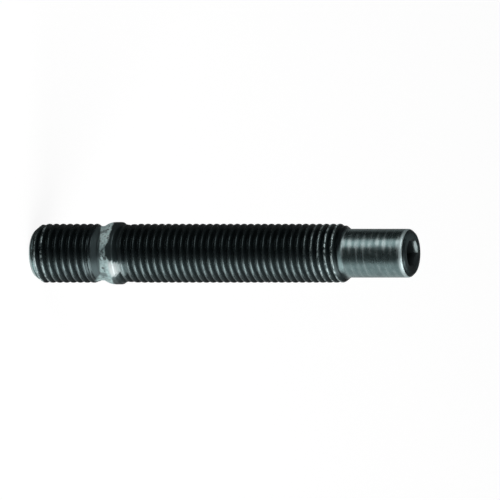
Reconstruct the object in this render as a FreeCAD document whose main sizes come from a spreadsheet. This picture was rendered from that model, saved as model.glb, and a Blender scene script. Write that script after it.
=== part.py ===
# Double ended stud for screwing into a wheel hub, in millimetres.
# It is one piece of steel: a turned bar with a thread rolled on each end of a pressed-up stop collar,
# a plain pilot that leads the nut on, and a hexagon socket broached into the pilot's end.
# The origin is the centre of the hub end's flat face, and +Z runs along the stud to the pilot.

import FreeCAD, Part
import Sketcher
import math
import os

NODE = "stud"

SIZES = [
    ("hub_end_length", 15.0, "hub end's face to the foot of the collar, with its neck"),
    ("collar_length", 5.0, "foot of the collar to the first full turn of the long thread"),
    ("outer_end_length", 62.0, "collar to the pilot's end face, with the long thread"),
    ("thread_diameter", 12.0, "outside diameter of both threads, over their crests"),
    ("thread_pitch", 1.5, "one turn of either thread; sets how deep the neck lies"),
    ("hub_chamfer_depth", 1.2, "how far the hub end's chamfer takes the radius down"),
    ("hub_chamfer_length", 1.6, "the same chamfer along the stud"),
    ("neck_length", 1.4, "unthreaded neck between the hub thread and the collar"),
    ("runout_length", 0.5, "cone in which the hub thread runs out to the neck"),
    ("collar_height", 0.33, "collar's crown above the thread's crests"),
    ("seat_length", 2.3, "rounded seat of the collar that bears on the hub's thread mouth"),
    ("crown_width", 1.5, "level band on top of the collar"),
    ("crown_round", 0.35, "rounding of the crown's edge towards the long thread"),
    ("neck_round", 0.25, "hollow rounding where the seat rises from the neck"),
    ("stamp_count", 8, "flats pressed round the collar's seat"),
    ("stamp_depth", 0.22, "depth of a flat below the seat"),
    ("stamp_margin", 0.35, "seat left whole before and after each flat"),
    ("pilot_step", 1.05, "pilot's surface below the thread's crests"),
    ("pilot_length", 13.7, "plain pilot, up to its end face"),
    ("shoulder_length", 1.4, "cone in which the long thread ends at the pilot"),
    ("pilot_chamfer_depth", 0.65, "how far the pilot's end chamfer takes the radius down"),
    ("pilot_chamfer_length", 0.6, "the same chamfer along the stud"),
    ("rim_round", 0.6, "rounding of the pilot's rim, before its chamfer"),
    ("hub_rim_round", 0.2, "rounding where the hub end's chamfer meets the crests"),
    ("socket_across_flats", 5.0, "hexagon key that the socket takes"),
    ("socket_depth", 5.5, "full hexagon, from the end face"),
    ("socket_lead", 0.15, "mouth's countersink beyond the hexagon's corners"),
    ("drill_point_angle", 118.0, "drill's point under the hexagon, in degrees"),
]

# An ISO metric thread's pitch line lies this share of the pitch below its crests.
PITCH_LINE = 3 * math.sqrt(3) / 16
HEX_SIDES = 6
# Two edges or circles are the same one when they are this near.
NEAR = 1e-4

doc = FreeCAD.newDocument("double_ended_stud")

sheet = doc.addObject("Spreadsheet::Sheet", "Sizes")
for row, (alias, value, note) in enumerate(SIZES, start=1):
    sheet.set(f"A{row}", alias)
    sheet.set(f"B{row}", str(value))
    sheet.set(f"C{row}", note)
    sheet.setAlias(f"B{row}", alias)
doc.recompute()

# Radii and stations along the stud, as formulas on the sheet.
CREST = "(Sizes.thread_diameter / 2)"
NECK = f"({CREST} - {PITCH_LINE} * Sizes.thread_pitch)"
CROWN = f"({CREST} + Sizes.collar_height)"
PILOT = f"({CREST} - Sizes.pilot_step)"
NECK_START = "(Sizes.hub_end_length - Sizes.neck_length)"
FOOT = "Sizes.hub_end_length"
CROWN_START = f"({FOOT} + Sizes.seat_length)"
CROWN_END = f"({CROWN_START} + Sizes.crown_width)"
# The seat is an arc that rises from the neck and runs level into the crown.
SEAT_RISE = f"({CROWN} - {NECK})"
SEAT_RADIUS = f"(({SEAT_RISE}^2 + Sizes.seat_length^2) / (2 * {SEAT_RISE}))"
SEAT_CENTRE = f"({CROWN} - {SEAT_RADIUS})"
COLLAR_END = f"({FOOT} + Sizes.collar_length)"
LENGTH = f"({COLLAR_END} + Sizes.outer_end_length)"
PILOT_START = f"({LENGTH} - Sizes.pilot_length)"
HEX_FLAT = "(Sizes.socket_across_flats / 2)"
HEX_CORNER = f"({HEX_FLAT} / cos(30 deg))"
SOCKET_FLOOR = f"({LENGTH} - Sizes.socket_depth)"


def number(formula):
    """The plain number that a formula on the sheet comes to."""
    value = sheet.evalExpression(formula)
    return float(getattr(value, "Value", value))


def origin_plane(body, role):
    """One of the body's own origin planes."""
    return next(f for f in body.Origin.OriginFeatures if f.Role == role)


def sketch_on(body, name, role):
    """An empty sketch on one of the body's origin planes. On XZ_Plane its X is a radius and its Y a height."""
    sketch = body.newObject("Sketcher::SketchObject", name)
    sketch.AttachmentSupport = [(origin_plane(body, role), "")]
    sketch.MapMode = "FlatFace"
    return sketch


def arc_between(start, end, centre):
    """The arc from start to end, counterclockwise round the centre."""
    spokes = [start - centre, end - centre]
    turns = [math.atan2(spoke.y, spoke.x) for spoke in spokes]
    return Part.ArcOfCircle(Part.Circle(centre, FreeCAD.Vector(0, 0, 1), spokes[0].Length), *turns)


def draw_section(sketch, corners):
    """Closes lines through the corners, each a radius and a height bound to the sheet.

    From a corner marked "seat" goes an arc round the centre of the collar's seat, not a straight line.
    """
    at = [FreeCAD.Vector(number(r), number(z), 0) for r, z, *_ in corners]
    lines = []
    for start, end, (_, _, *mark) in zip(at, at[1:] + at[:1], corners):
        line = Part.LineSegment(start, end)
        if mark == ["seat"]:
            line = arc_between(start, end, FreeCAD.Vector(number(SEAT_CENTRE), number(CROWN_START), 0))
        lines.append(sketch.addGeometry(line, False))
    for line, after in zip(lines, lines[1:] + lines[:1]):
        sketch.addConstraint(Sketcher.Constraint("Coincident", line, 2, after, 1))
    for line, (r, z, *mark) in zip(lines, corners):
        bind_distance(sketch, "DistanceX", line, r)
        bind_distance(sketch, "DistanceY", line, z)
        if mark == ["seat"]:
            bind_distance(sketch, "DistanceY", line, CROWN_START, "centre")


def put_on_axis(sketch, line, axis_name):
    """Holds a line's start on the sketch's vertical or horizontal axis, which constraints know as -2 and -1."""
    axis = {"V_Axis": -2, "H_Axis": -1}[axis_name]
    sketch.addConstraint(Sketcher.Constraint("PointOnObject", line, 1, axis))


def bind_distance(sketch, kind, line, formula, point="start"):
    """Ties a line's start or an arc's centre to the origin by a formula, or puts it on the axis if that is 0."""
    if formula == "0":
        put_on_axis(sketch, line, "V_Axis" if kind == "DistanceX" else "H_Axis")
        return
    place = {"start": 1, "centre": 3}[point]
    index = sketch.addConstraint(Sketcher.Constraint(kind, -1, 1, line, place, number(formula)))
    sketch.setExpression(f"Constraints[{index}]", formula)


def turn(body, kind, name, sketch):
    """A Revolution or Groove of a section once round the stud's axis."""
    feature = body.newObject(kind, name)
    feature.Profile = sketch
    feature.ReferenceAxis = (sketch, ["V_Axis"])
    feature.Angle = 360
    sketch.Visibility = False
    doc.recompute()
    return feature


def round_rings(body, base, name, rings, size):
    """Rounds the circular edges of base that lie at the given radii and heights."""
    names = []
    for radius, height in rings:
        names += [
            f"Edge{i}"
            for i, edge in enumerate(base.Shape.Edges, start=1)
            if isinstance(edge.Curve, Part.Circle)
            and abs(edge.Curve.Radius - number(radius)) < NEAR
            and abs(edge.Curve.Center.z - number(height)) < NEAR
        ]
    if len(names) != len(rings):
        raise ValueError(f"{name}: found {len(names)} of {len(rings)} edges")
    feature = body.newObject("PartDesign::Fillet", name)
    feature.Base = (base, names)
    feature.setExpression("Radius", size)
    doc.recompute()
    return feature


def make_blank(body):
    """The turned bar: hub end, neck, collar, long shank, shoulder and pilot in one section."""
    section = sketch_on(body, "blank_section", "XZ_Plane")
    draw_section(
        section,
        [
            ("0", "0"),
            (f"{CREST} - Sizes.hub_chamfer_depth", "0"),
            (CREST, "Sizes.hub_chamfer_length"),
            (CREST, f"{NECK_START} - Sizes.runout_length"),
            (NECK, NECK_START),
            (NECK, FOOT, "seat"),
            (CROWN, CROWN_START),
            (CROWN, CROWN_END),
            (CREST, COLLAR_END),
            (CREST, f"{PILOT_START} - Sizes.shoulder_length"),
            (PILOT, PILOT_START),
            (PILOT, f"{LENGTH} - Sizes.pilot_chamfer_length"),
            (f"{PILOT} - Sizes.pilot_chamfer_depth", LENGTH),
            ("0", LENGTH),
        ],
    )
    blank = turn(body, "PartDesign::Revolution", "blank", section)
    hub_rim = [(CREST, "Sizes.hub_chamfer_length")]
    pilot_rim = [(PILOT, f"{LENGTH} - Sizes.pilot_chamfer_length")]
    softened = round_rings(body, blank, "crown_round", [(CROWN, CROWN_END)], "Sizes.crown_round")
    softened = round_rings(body, softened, "neck_round", [(NECK, FOOT)], "Sizes.neck_round")
    softened = round_rings(body, softened, "hub_rim_round", hub_rim, "Sizes.hub_rim_round")
    return round_rings(body, softened, "pilot_rim_round", pilot_rim, "Sizes.rim_round")


def press_flats(body):
    """The ring of flats that the pressing tool leaves on the collar's seat.

    Each is flat across the stud, and along it keeps the same depth below the seat's arc.
    """
    low = f"({FOOT} + Sizes.stamp_margin)"
    high = f"({CROWN_START} - Sizes.stamp_margin)"
    reach = f"({SEAT_RADIUS} - Sizes.stamp_depth)"
    low_flat = f"{SEAT_CENTRE} + sqrt({reach}^2 - ({CROWN_START} - {low})^2)"
    high_flat = f"{SEAT_CENTRE} + sqrt({reach}^2 - ({CROWN_START} - {high})^2)"
    clear = f"{CROWN} + Sizes.stamp_depth"
    side = sketch_on(body, "flat_section", "XZ_Plane")
    draw_section(side, [(low_flat, low, "seat"), (high_flat, high), (clear, high), (clear, low)])
    # The section is turned half a flat about the stud, so that a ridge and not a flat faces -Y.
    side.AttachmentOffset = FreeCAD.Placement(
        FreeCAD.Vector(0, 0, 0), FreeCAD.Rotation(FreeCAD.Vector(0, 1, 0), 180 / number("Sizes.stamp_count"))
    )
    side.setExpression("AttachmentOffset.Rotation.Angle", "180 deg / Sizes.stamp_count")
    flat = body.newObject("PartDesign::Pocket", "flat")
    flat.Profile = side
    flat.Midplane = True
    flat.setExpression("Length", "Sizes.thread_diameter")
    side.Visibility = False
    doc.recompute()
    flats = body.newObject("PartDesign::PolarPattern", "flats")
    flats.Originals = [flat]
    flats.Axis = (side, ["V_Axis"])
    flats.Angle = 360
    flats.setExpression("Occurrences", "Sizes.stamp_count")
    body.Tip = flats
    doc.recompute()
    return flat, flats


def broach_socket(body):
    """The hexagon, its drill point and its countersunk mouth. Two of its flats face +X and -X."""
    hexagon = sketch_on(body, "socket_hexagon", "XY_Plane")
    hexagon.AttachmentOffset = FreeCAD.Placement(
        FreeCAD.Vector(0, 0, number(LENGTH)), FreeCAD.Rotation()
    )
    hexagon.setExpression("AttachmentOffset.Base.z", LENGTH)
    corner = number(HEX_CORNER)
    ring = hexagon.addGeometry(
        Part.Circle(FreeCAD.Vector(0, 0, 0), FreeCAD.Vector(0, 0, 1), corner), True
    )
    hexagon.addConstraint(Sketcher.Constraint("Coincident", ring, 3, -1, 1))
    size = hexagon.addConstraint(Sketcher.Constraint("Radius", ring, corner))
    hexagon.setExpression(f"Constraints[{size}]", HEX_CORNER)
    turns = [math.radians(90 + 360 * k / HEX_SIDES) for k in range(HEX_SIDES)]
    at = [FreeCAD.Vector(corner * math.cos(a), corner * math.sin(a), 0) for a in turns]
    sides = []
    for start, end in zip(at, at[1:] + at[:1]):
        sides.append(hexagon.addGeometry(Part.LineSegment(start, end), False))
    for side, after in zip(sides, sides[1:] + sides[:1]):
        hexagon.addConstraint(Sketcher.Constraint("Coincident", side, 2, after, 1))
        hexagon.addConstraint(Sketcher.Constraint("PointOnObject", side, 1, ring))
    for side in sides[1:]:
        hexagon.addConstraint(Sketcher.Constraint("Equal", sides[0], side))
    put_on_axis(hexagon, sides[0], "V_Axis")
    socket = body.newObject("PartDesign::Pocket", "socket")
    socket.Profile = hexagon
    socket.setExpression("Length", "Sizes.socket_depth")
    hexagon.Visibility = False
    doc.recompute()

    point_section = sketch_on(body, "drill_point_section", "XZ_Plane")
    point_depth = f"({HEX_FLAT} / tan(Sizes.drill_point_angle * 1 deg / 2))"
    draw_section(
        point_section,
        [("0", SOCKET_FLOOR), ("0", f"{SOCKET_FLOOR} - {point_depth}"), (HEX_FLAT, SOCKET_FLOOR)],
    )
    point = turn(body, "PartDesign::Groove", "drill_point", point_section)

    mouth_section = sketch_on(body, "mouth_section", "XZ_Plane")
    mouth = f"({HEX_CORNER} + Sizes.socket_lead)"
    draw_section(mouth_section, [("0", LENGTH), ("0", f"{LENGTH} - {mouth}"), (mouth, LENGTH)])
    return socket, point, turn(body, "PartDesign::Groove", "socket_mouth", mouth_section)


def check_document():
    """Stops the build on a failed object, or on a cut that took nothing away."""
    for item in doc.Objects:
        if "Invalid" in item.State or "Error" in item.State:
            raise ValueError(f"{item.Label} is {item.State}")
    previous = None
    for feature in stud.Group:
        if not feature.isDerivedFrom("PartDesign::Feature"):
            continue
        volume = feature.Shape.Volume
        print(f"{feature.Label}: {volume:.2f} mm3")
        if previous is not None and volume == previous:
            raise ValueError(f"{feature.Label} changes nothing")
        previous = volume
    if stud.Shape.isNull() or not stud.Shape.isValid() or len(stud.Shape.Solids) != 1:
        raise ValueError("the stud isn't one valid solid")


stud = doc.addObject("PartDesign::Body", NODE)
stud.Label = NODE
make_blank(stud)
press_flats(stud)
broach_socket(stud)
stud.Placement = FreeCAD.Placement()
doc.recompute()
check_document()

os.makedirs("parts", exist_ok=True)
stud.Shape.exportStep(os.path.join("parts", f"{NODE}.step"))
box = stud.Shape.optimalBoundingBox()
print(f"{NODE}: {box.XLength:.3f} x {box.YLength:.3f} x {box.ZLength:.3f} mm")
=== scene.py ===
# %% [markdown]
# The double ended stud is one bar of steel that a lathe, a thread roller and a press have shaped in turn.
# This file makes its looks round the fixed model, in the order in which a workshop would make the stud:
# the turned blank, the pressed collar, the two rolled threads, the knocks of use, and then the finishes.

import math

import bmesh
import bpy
import numpy as np
from mathutils import Matrix, Vector


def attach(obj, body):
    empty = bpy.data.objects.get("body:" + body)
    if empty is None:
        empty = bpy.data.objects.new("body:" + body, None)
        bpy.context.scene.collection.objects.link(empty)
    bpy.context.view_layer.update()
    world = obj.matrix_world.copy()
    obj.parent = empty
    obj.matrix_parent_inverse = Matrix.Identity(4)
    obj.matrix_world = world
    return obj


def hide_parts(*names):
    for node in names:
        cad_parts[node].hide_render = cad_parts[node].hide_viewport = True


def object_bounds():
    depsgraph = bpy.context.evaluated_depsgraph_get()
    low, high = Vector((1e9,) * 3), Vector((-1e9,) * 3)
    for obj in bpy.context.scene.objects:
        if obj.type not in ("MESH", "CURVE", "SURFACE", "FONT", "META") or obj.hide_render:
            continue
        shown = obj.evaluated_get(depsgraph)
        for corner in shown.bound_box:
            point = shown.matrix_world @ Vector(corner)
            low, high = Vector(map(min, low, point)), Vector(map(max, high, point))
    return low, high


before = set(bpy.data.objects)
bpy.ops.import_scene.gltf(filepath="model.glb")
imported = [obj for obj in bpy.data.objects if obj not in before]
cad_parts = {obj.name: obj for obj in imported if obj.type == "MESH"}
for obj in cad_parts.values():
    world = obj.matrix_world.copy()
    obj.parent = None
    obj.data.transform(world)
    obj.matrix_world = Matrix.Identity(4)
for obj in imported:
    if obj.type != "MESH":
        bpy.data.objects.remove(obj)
cad_low, cad_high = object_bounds()

# %% [markdown]
# The stud stands on its hub end, so Z runs along it from the hub end's face to the socket. The sizes below
# are the model's own. Blender works in metres, so each is a number of millimetres times MM.

# %% Sizes of the stud
MM = 0.001
TURN = 2 * math.pi

LENGTH = cad_high.z
CREST = 6.0 * MM
PITCH = 1.5 * MM
NECK = CREST - PITCH * 3 * math.sqrt(3) / 16
HUB_FACE = 4.8 * MM
HUB_CHAMFER_END = 1.6 * MM
HUB_THREAD_END = 13.1 * MM
NECK_LOW = 13.6 * MM
COLLAR_LOW = 15.0 * MM
CROWN = 6.33 * MM
CROWN_LOW = 17.3 * MM
CROWN_HIGH = 18.8 * MM
COLLAR_HIGH = 20.0 * MM
SHOULDER_LOW = 66.9 * MM
PILOT = 4.95 * MM
PILOT_LOW = 68.3 * MM
PILOT_FACE = 4.3 * MM
PILOT_CHAMFER_LOW = LENGTH - 0.6 * MM
HEX_FLAT = 2.5 * MM
HEX_FLOOR = LENGTH - 5.5 * MM
DRILL_HALF_ANGLE = math.radians(59)
MOUTH = HEX_FLAT / math.cos(math.radians(30)) + 0.15 * MM
print("length", round(LENGTH, 5), "crown in the model", round(cad_high.x, 5), "neck", round(NECK, 5))

# %% [markdown]
# The blank is what the lathe leaves: one outline turned round the axis. It could be spun from a curve, but a
# thread is to be rolled into it, and a thread looks crisp only where rows of points run along its crests and
# roots. So the skin is a sheet of rows and columns. Rows are plain rings where the stud is plain, and climb
# with the thread where it is threaded, so that each one stays on its own line of the thread's form.

# %% The outline of the blank
COLUMNS = 120
SEAT_ROUND = 3.64 * MM
seat_steps = np.linspace(2.2, 0, 8) * MM
seat = [(CROWN - SEAT_ROUND + math.sqrt(SEAT_ROUND**2 - down**2), CROWN_LOW - down) for down in seat_steps]
OUTLINE = [
    (HUB_FACE, 0),
    (CREST, HUB_CHAMFER_END),
    (CREST, HUB_THREAD_END),
    (NECK, NECK_LOW),
    (NECK, COLLAR_LOW),
    *seat,
    (CROWN, CROWN_HIGH),
    (CREST - 0.22 * MM, COLLAR_HIGH - 0.5 * MM),
    (CREST, COLLAR_HIGH + 2.5 * MM),
    (CREST, SHOULDER_LOW),
    (PILOT, PILOT_LOW),
    (PILOT, PILOT_CHAMFER_LOW),
    (PILOT_FACE, LENGTH),
]


def blank_radius(height):
    """Radius of the turned blank at a height, with sharp corners."""
    radii, heights = zip(*OUTLINE)
    return np.interp(height, heights, radii)


def soft_radius(height, reach):
    """The same, with each corner rounded over a short reach along the stud: the mean of places near by."""
    steps = np.linspace(-1, 1, 9)
    weights = 1 - 0.9 * steps**2
    shifted = [blank_radius(height + s * reach) for s in steps]
    return sum(w * r for w, r in zip(weights, shifted)) / weights.sum()


print("corners of the outline:", len(OUTLINE), "of them on the seat:", len(seat))

# %% Rows of the skin
angles = np.linspace(0, TURN, COLUMNS + 1)
rows = []


def add_ring(radius, height):
    """One row. Radius and height are numbers, or have one number for each column."""
    rows.append((np.broadcast_to(radius, angles.shape), np.broadcast_to(height, angles.shape)))


def add_rings_along(low, high, step, reach):
    """Plain rings up the side at even steps."""
    for height in np.linspace(low, high, max(2, round((high - low) / step) + 1)):
        add_ring(soft_radius(height, reach), height)


# Rows lie closer together on the crest and in the root of the thread than on its straight flanks.
CREST_TO_ROOT = np.array([0.07, 0.15, 0.22, 0.30, 0.42, 0.57, 0.66, 0.75]) * MM
row_places = sorted({*(CREST_TO_ROOT / PITCH), *(1 - CREST_TO_ROOT / PITCH)})


def add_climbing_rows(low, high, crest_at, reach):
    """Rows that climb one pitch a turn, cut off at low and high. A crest passes column 0 at crest_at."""
    first = math.floor((low - crest_at) / PITCH) - 2
    last = math.ceil((high - crest_at) / PITCH) + 1
    for turn in range(first, last):
        for place in row_places:
            climbed = crest_at + (turn + place + angles / TURN) * PITCH
            if climbed[-1] < low or climbed[0] > high:
                continue
            height = np.clip(climbed, low, high)
            add_ring(soft_radius(height, reach), height)


print("rows in one pitch of a thread:", len(row_places))

# %% [markdown]
# The stop collar was squeezed up in a press, and its rounded seat carries eight flats from the jaws. They
# could be cut with a Boolean, but that would break the rows of the sheet. A flat is a straight cut across a
# round, so its distance from the axis grows as 1 / cos away from its middle, and the smaller of that and the
# seat is the skin. The jaws were worn, so no two flats are quite as deep.

# %% The pressed collar
FLATS = 8
FLAT_DEPTH = 0.22 * MM
FLAT_LOW = COLLAR_LOW + 0.25 * MM
FLAT_HIGH = CROWN_LOW - 0.2 * MM
LEAD_IN = 0.25 * MM
LEAD_OUT = 0.35 * MM
worn_jaws = np.random.default_rng(5).uniform(0.85, 1.1, FLATS)


def pressed_radius(height):
    """Radius of the collar's seat at a height for every column, with its flats."""
    seat = soft_radius(height, 0.14 * MM)
    eighth = TURN / FLATS
    off_middle = angles % eighth - eighth / 2
    jaw = worn_jaws[(angles // eighth).astype(int) % FLATS]
    inside = np.clip((height - FLAT_LOW) / LEAD_IN, 0, 1) * np.clip((FLAT_HIGH - height) / LEAD_OUT, 0, 1)
    flat = (seat - FLAT_DEPTH * jaw) / np.cos(off_middle)
    return seat + np.minimum(flat - seat, 0) * inside


print("depths of the flats in mm:", (FLAT_DEPTH / MM * worn_jaws).round(3).tolist())

# %% All rows, from the hub end's middle to the socket's floor
HUB_CREST_AT = 0.39 * MM
OUTER_CREST_AT = 18.95 * MM
SEAT_STEP = 0.08 * MM

for share in (0, 0.3, 0.6, 0.85, 0.98):
    add_ring(HUB_FACE * share, 0)
add_climbing_rows(0.04 * MM, NECK_LOW, HUB_CREST_AT, reach=0.05 * MM)
add_rings_along(NECK_LOW + 0.1 * MM, COLLAR_LOW - 0.1 * MM, step=0.2 * MM, reach=0.12 * MM)
for height in np.arange(COLLAR_LOW, CROWN_LOW + 0.25 * MM, SEAT_STEP):
    add_ring(pressed_radius(height), height)
add_rings_along(CROWN_LOW + 0.35 * MM, CROWN_HIGH - 0.4 * MM, step=0.2 * MM, reach=0.14 * MM)
add_climbing_rows(CROWN_HIGH - 0.3 * MM, PILOT_LOW + 0.45 * MM, OUTER_CREST_AT, reach=0.4 * MM)
add_rings_along(PILOT_LOW + 0.5 * MM, PILOT_CHAMFER_LOW - 0.5 * MM, step=0.3 * MM, reach=0.12 * MM)
add_rings_along(PILOT_CHAMFER_LOW - 0.42 * MM, LENGTH - 0.05 * MM, step=0.07 * MM, reach=0.36 * MM)
print("rows on the side:", len(rows))

# %% [markdown]
# The hexagon socket takes the key that turns the stud in. A Boolean could cut it, but would leave thin faces
# round its mouth that shade badly. So it goes on from the same sheet: the rows turn in over the end face,
# down the countersunk mouth, along the six walls and over the drill point to the axis. There are 120
# columns, so every corner of the hexagon falls on one, and its edges stay straight.

# %% End face and socket
sixth = (angles + TURN / 12) % (TURN / 6) - TURN / 12
hexagon = HEX_FLAT / np.cos(sixth)
mouth_height = LENGTH - (MOUTH - hexagon)
rim = rows[-1][0][0]

for share in (0.06, 0.3, 0.6, 0.85, 0.97):
    add_ring(rim + (MOUTH - rim) * share, LENGTH)
add_ring(MOUTH - 0.03 * MM, LENGTH - 0.03 * MM)
for share in (0, 0.02, 0.2, 0.4, 0.6, 0.8, 0.98, 1):
    add_ring(hexagon, mouth_height + (HEX_FLOOR - mouth_height) * share)
for share in (0.99, 0.66, 0.33, 0):
    add_ring(HEX_FLAT * share, HEX_FLOOR - HEX_FLAT * (1 - share) / math.tan(DRILL_HALF_ANGLE))
print("rows in all:", len(rows))


# %% The blank as a mesh
def sheet_object(name, sheet_rows):
    """An object from rows of radius and height: one quad between neighbours, its seam and poles closed."""
    radius = np.array([r for r, _ in sheet_rows])
    height = np.array([z for _, z in sheet_rows])
    points = np.stack([radius * np.cos(angles), radius * np.sin(angles), height], axis=-1)
    index = np.arange(radius.size).reshape(radius.shape)
    quads = np.stack([index[:-1, :-1], index[:-1, 1:], index[1:, 1:], index[1:, :-1]], axis=-1)
    mesh = bpy.data.meshes.new(name)
    mesh.from_pydata(points.reshape(-1, 3).tolist(), [], quads.reshape(-1, 4).tolist())
    made = bmesh.new()
    made.from_mesh(mesh)
    bmesh.ops.remove_doubles(made, verts=made.verts, dist=0.002 * MM)
    bmesh.ops.dissolve_degenerate(made, edges=made.edges, dist=0.001 * MM)
    # Where climbing rows meet level ones, the seam is left with a gap of one small triangle.
    bmesh.ops.holes_fill(made, edges=[edge for edge in made.edges if edge.is_boundary], sides=3)
    bmesh.ops.recalc_face_normals(made, faces=made.faces)
    open_edges = sum(not edge.is_manifold for edge in made.edges)
    made.to_mesh(mesh)
    made.free()
    thing = bpy.data.objects.new(name, mesh)
    bpy.context.scene.collection.objects.link(thing)
    print(name, "faces", len(mesh.polygons), "open edges", open_edges)
    return thing


stud = sheet_object("turned_blank", rows)

# %% [markdown]
# A rolled thread is a rule, not a shape to be drawn: how far a point is from the nearest crest says how deep
# it lies. The crest is level for a quarter of a pitch, the flanks stand at 60 degrees to each other, and
# crest and root run into them in a round. A Screw modifier could sweep that outline, but would make a body
# of its own that doesn't join the stud. Geometry Nodes read each point's place, work out the rule and move
# the point in, never out. One tree makes both threads, each with its own start, end and run-out.


# %% Helpers for node trees
def feed(tree, node, *inputs):
    """Sets a node's first inputs, each by a value or by a link. None leaves one as it is."""
    for socket, value in zip(node.inputs, inputs):
        if isinstance(value, bpy.types.NodeSocket):
            tree.links.new(value, socket)
        elif value is not None:
            socket.default_value = value


def add_node(tree, kind, *inputs, **settings):
    """A node with its settings and its first inputs."""
    node = tree.nodes.new(kind)
    for key, value in settings.items():
        setattr(node, key, value)
    feed(tree, node, *inputs)
    return node


def calc(tree, operation, *inputs):
    """A Math node's result. A sum, product or maximum of more than two inputs takes a chain of nodes."""
    if operation in ("ADD", "MULTIPLY", "MAXIMUM") and len(inputs) > 2:
        inputs = (calc(tree, operation, *inputs[:-1]), inputs[-1])
    return add_node(tree, "ShaderNodeMath", *inputs, operation=operation).outputs[0]


def between(tree, value, low, high):
    """1 where a value lies between two others, and 0 elsewhere."""
    above, below = calc(tree, "GREATER_THAN", value, low), calc(tree, "LESS_THAN", value, high)
    return calc(tree, "MULTIPLY", above, below)


def fade(tree, value, start, end, low=0.0, high=1.0):
    """An eased Map Range: low at start, high at end."""
    return add_node(
        tree, "ShaderNodeMapRange", value, start, end, low, high, interpolation_type="SMOOTHSTEP"
    ).outputs[0]


def new_group(name, kind, inputs, outputs):
    """An empty node group with named sockets. inputs maps a name to (socket kind, value)."""
    tree = bpy.data.node_groups.new(name, kind)
    for label, (socket_kind, value) in inputs.items():
        socket = tree.interface.new_socket(label, in_out="INPUT", socket_type="NodeSocket" + socket_kind)
        if value is not None:
            socket.default_value = value
    for label, socket_kind in outputs.items():
        tree.interface.new_socket(label, in_out="OUTPUT", socket_type="NodeSocket" + socket_kind)
    return tree, tree.nodes.new("NodeGroupInput").outputs, tree.nodes.new("NodeGroupOutput").inputs


# %% Where a point lies round the axis
def round_place(tree, point):
    """Radius from the axis, share of a turn and height of a point in a node tree."""
    x, y, z = add_node(tree, "ShaderNodeSeparateXYZ", point).outputs
    square = calc(tree, "ADD", calc(tree, "MULTIPLY", x, x), calc(tree, "MULTIPLY", y, y))
    return calc(tree, "SQRT", square), calc(tree, "DIVIDE", calc(tree, "ARCTAN2", y, x), TURN), z


def set_radius(tree, geometry, selection, point, radius, wanted):
    """A Set Position node that moves points straight towards the axis."""
    share = calc(tree, "DIVIDE", wanted, calc(tree, "MAXIMUM", radius, 1e-6))
    scale = add_node(tree, "ShaderNodeCombineXYZ", share, share, 1.0).outputs[0]
    moved = add_node(tree, "ShaderNodeVectorMath", point, scale, operation="MULTIPLY").outputs[0]
    return add_node(tree, "GeometryNodeSetPosition", geometry, selection, moved).outputs[0]


# %% The rolled thread
CREST_FLAT = PITCH / 8
ROOT_DEPTH = PITCH * 17 * math.sqrt(3) / 48


def make_thread_tree():
    tree, given, result = new_group(
        "rolled_thread",
        "GeometryNodeTree",
        {
            "Geometry": ("Geometry", None),
            "Pitch": ("Float", PITCH),
            "Crest Radius": ("Float", CREST),
            "Crest Height": ("Float", HUB_CREST_AT),
            "Crest Flat": ("Float", CREST_FLAT),
            "Crest Round": ("Float", 0.4 * MM),
            "Root Round": ("Float", 0.3 * MM),
            "Depth": ("Float", ROOT_DEPTH),
            "Low End": ("Float", 0.0),
            "High End": ("Float", NECK_LOW),
            "Run In": ("Float", MM),
            "Run Out": ("Float", MM),
        },
        {"Geometry": "Geometry"},
    )
    point = tree.nodes.new("GeometryNodeInputPosition").outputs[0]
    radius, turned, height = round_place(tree, point)
    pitch, low, high = given["Pitch"], given["Low End"], given["High End"]
    climbed = calc(tree, "DIVIDE", calc(tree, "SUBTRACT", height, given["Crest Height"]), pitch)
    share = calc(tree, "FRACT", calc(tree, "ADD", calc(tree, "SUBTRACT", climbed, turned), 0.5))
    from_crest = calc(tree, "MULTIPLY", calc(tree, "ABSOLUTE", calc(tree, "SUBTRACT", share, 0.5)), pitch)

    past_flat = calc(tree, "SUBTRACT", from_crest, given["Crest Flat"])
    straight = calc(tree, "MULTIPLY", past_flat, math.sqrt(3))
    flank = calc(tree, "SMOOTH_MAX", straight, 0.0, given["Crest Round"])
    depth = calc(tree, "SMOOTH_MIN", flank, given["Depth"], given["Root Round"])

    begun = fade(tree, height, low, calc(tree, "ADD", low, given["Run In"]))
    unfinished = fade(tree, height, calc(tree, "SUBTRACT", high, given["Run Out"]), high, 1.0, 0.0)
    full = calc(tree, "MINIMUM", radius, calc(tree, "SUBTRACT", given["Crest Radius"], depth))
    cut = calc(tree, "MULTIPLY", calc(tree, "SUBTRACT", radius, full), begun, unfinished)
    threaded = between(tree, height, low, high)
    wanted = calc(tree, "SUBTRACT", radius, cut)
    tree.links.new(set_radius(tree, given["Geometry"], threaded, point, radius, wanted), result["Geometry"])
    return tree


rolled_thread = make_thread_tree()
print("thread tree:", len(rolled_thread.nodes), "nodes")


# %% Roll both threads
def add_tree(thing, tree, **values):
    """Puts a node tree on an object. Its inputs are set by identifier, with spaces for underscores."""
    modifier = thing.modifiers.new(tree.name, "NODES")
    modifier.node_group = tree
    for item in tree.interface.items_tree:
        key = item.name.replace(" ", "_")
        if item.item_type == "SOCKET" and item.in_out == "INPUT" and key in values:
            modifier[item.identifier] = values.pop(key)
    assert not values, values


add_tree(
    stud,
    rolled_thread,
    Crest_Height=HUB_CREST_AT,
    Low_End=0.0,
    High_End=NECK_LOW,
    Run_In=0.02 * MM,
    Run_Out=1.3 * MM,
)
add_tree(
    stud,
    rolled_thread,
    Crest_Height=OUTER_CREST_AT,
    Low_End=CROWN_HIGH - 0.25 * MM,
    High_End=PILOT_LOW,
    Run_In=0.45 * MM,
    Run_Out=0.3 * MM,
)
print("rolled into the blank:", [modifier.name for modifier in stud.modifiers])

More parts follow.
